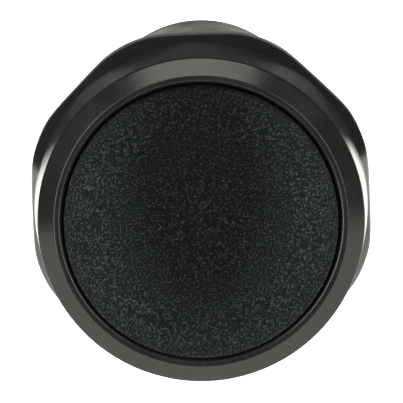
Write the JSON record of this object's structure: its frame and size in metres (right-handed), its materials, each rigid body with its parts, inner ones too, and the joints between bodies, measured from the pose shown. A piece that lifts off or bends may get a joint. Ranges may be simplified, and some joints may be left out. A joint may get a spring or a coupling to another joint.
{
  "type": "push button switch",
  "caption": "Flush round momentary push button with an octagonal collar, threaded panel barrel, lock nut and screw terminals for a normally open and a normally closed contact.",
  "frame": {"origin": "on the button's axis, in the plane of the gasket's rear face, where the panel's front face lies", "axes": "+Y along the axis from the cap towards the terminals; +Z towards the barrel's key slot; cap faces -Y"},
  "size_m": [0.0296, 0.0606, 0.0296],
  "materials": {
    "black_housing": "smooth moulded black plastic with a soft satin sheen",
    "cap_plastic": "finely grained matte black plastic",
    "nut_plastic": "glass-filled black plastic, satin",
    "natural_plastic": "natural acetal, satin",
    "grey_plastic": "warm grey contact carrier plastic, matte",
    "rubber_seal": "matte black rubber",
    "spring_steel": "drawn spring wire",
    "zinc_steel": "bright zinc plating",
    "copper_alloy": "rolled copper alloy",
    "terminal_brass": "stamped brass strip",
    "silver_alloy": "silver contact alloy"
  },
  "bodies": {
    "housing": {"front_housing": "black_housing", "panel_gasket": "rubber_seal", "return_spring": "spring_steel", "contact_housing": "black_housing", "terminal_block": "black_housing", "rear_cover": "black_housing", "nc_terminals": "terminal_brass", "nc_fixed_tips": "silver_alloy", "no_terminals": "terminal_brass", "no_fixed_tips": "silver_alloy", "wire_clamps": "zinc_steel", "terminal_screws": "zinc_steel"},
    "actuator": {"button_cap": "cap_plastic", "plunger": "natural_plastic", "stem_seal": "rubber_seal", "stem_clip": "spring_steel", "contact_carrier": "grey_plastic", "nc_contact_spring": "spring_steel", "no_contact_spring": "spring_steel"},
    "closed_bridge": {"nc_bridge": "copper_alloy", "nc_bridge_tips": "silver_alloy"},
    "open_bridge": {"no_bridge": "copper_alloy", "no_bridge_tips": "silver_alloy"},
    "washer": {"keyed_washer": "zinc_steel"},
    "nut": {"lock_nut": "nut_plastic"}
  },
  "joints": [
    {"name": "push", "type": "slide", "parent": "housing", "child": "actuator", "axis": [0, 1, 0], "range_m": [0, 0.0045], "stiffness_N_per_m": 600, "springref_m": -0.004, "deforming": ["return_spring"]},
    {"name": "nc_bridge_slide", "type": "slide", "parent": "housing", "child": "closed_bridge", "axis": [0, 1, 0], "range_m": [0, 0.0037], "deforming": ["nc_contact_spring"]},
    {"name": "no_bridge_slide", "type": "slide", "parent": "housing", "child": "open_bridge", "axis": [0, 1, 0], "range_m": [0, 0.0026], "deforming": ["no_contact_spring"]},
    {"name": "nut_travel", "type": "slide", "parent": "housing", "child": "washer", "axis": [0, 1, 0], "range_m": [-0.00201, 0.00601]},
    {"name": "nut_turn", "type": "hinge", "parent": "washer", "child": "nut", "pos_m": [0, 0, 0], "axis": [0, 1, 0], "range_deg": [-480, 1440]}
  ],
  "couplings": [
    {"joint": "nc_bridge_slide", "follows": "push", "ratio": 0.8},
    {"joint": "no_bridge_slide", "follows": "push", "ratio": 0.555},
    {"joint": "nut_travel", "follows": "nut_turn", "m_per_rad": 0.00023873}
  ]
}
